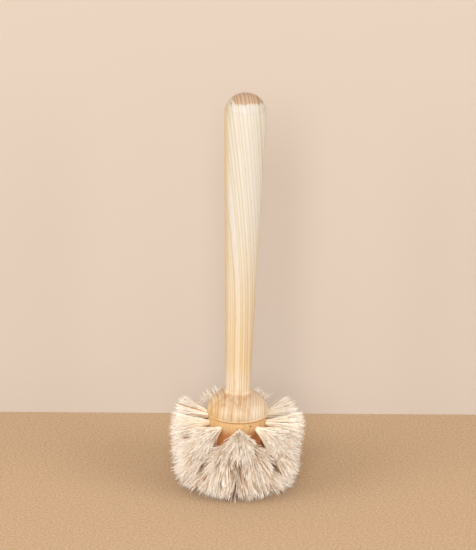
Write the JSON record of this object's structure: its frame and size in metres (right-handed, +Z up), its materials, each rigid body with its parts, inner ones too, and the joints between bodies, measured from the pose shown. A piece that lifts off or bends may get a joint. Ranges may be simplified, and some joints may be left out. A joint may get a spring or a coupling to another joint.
{
  "type": "glass cleaning brush",
  "caption": "Upright glass cleaning brush: a turned, tapered wooden handle with a domed foot over a drilled wooden block, from which tufts of pale horsehair fan out into a drum.",
  "frame": {"origin": "on the handle's axis at the plane of the bristle tips that the brush stands on", "axes": "+Z up along the handle, towards the rounded end of the grip; -Y is the front in the picture, with +X to the right"},
  "size_m": [0.09, 0.0899, 0.266],
  "materials": {
    "handle_wood": "fine-sanded and lightly oiled pale hardwood",
    "block_wood": "oiled warm brown hardwood",
    "horsehair": "pale horsehair with grey, tan and a few dark hairs",
    "draw_wire": "drawn soft steel wire",
    "pin_steel": "dulled steel brad"
  },
  "bodies": {
    "root": {"handle": "handle_wood", "brush_block": "block_wood", "upper_tufts": "horsehair", "middle_tufts": "horsehair", "lower_tufts": "horsehair", "end_tufts": "horsehair", "upper_draw_wire": "draw_wire", "middle_draw_wire": "draw_wire", "lower_draw_wire": "draw_wire", "end_draw_wire": "draw_wire", "locking_pin": "pin_steel"}
  },
  "joints": []
}
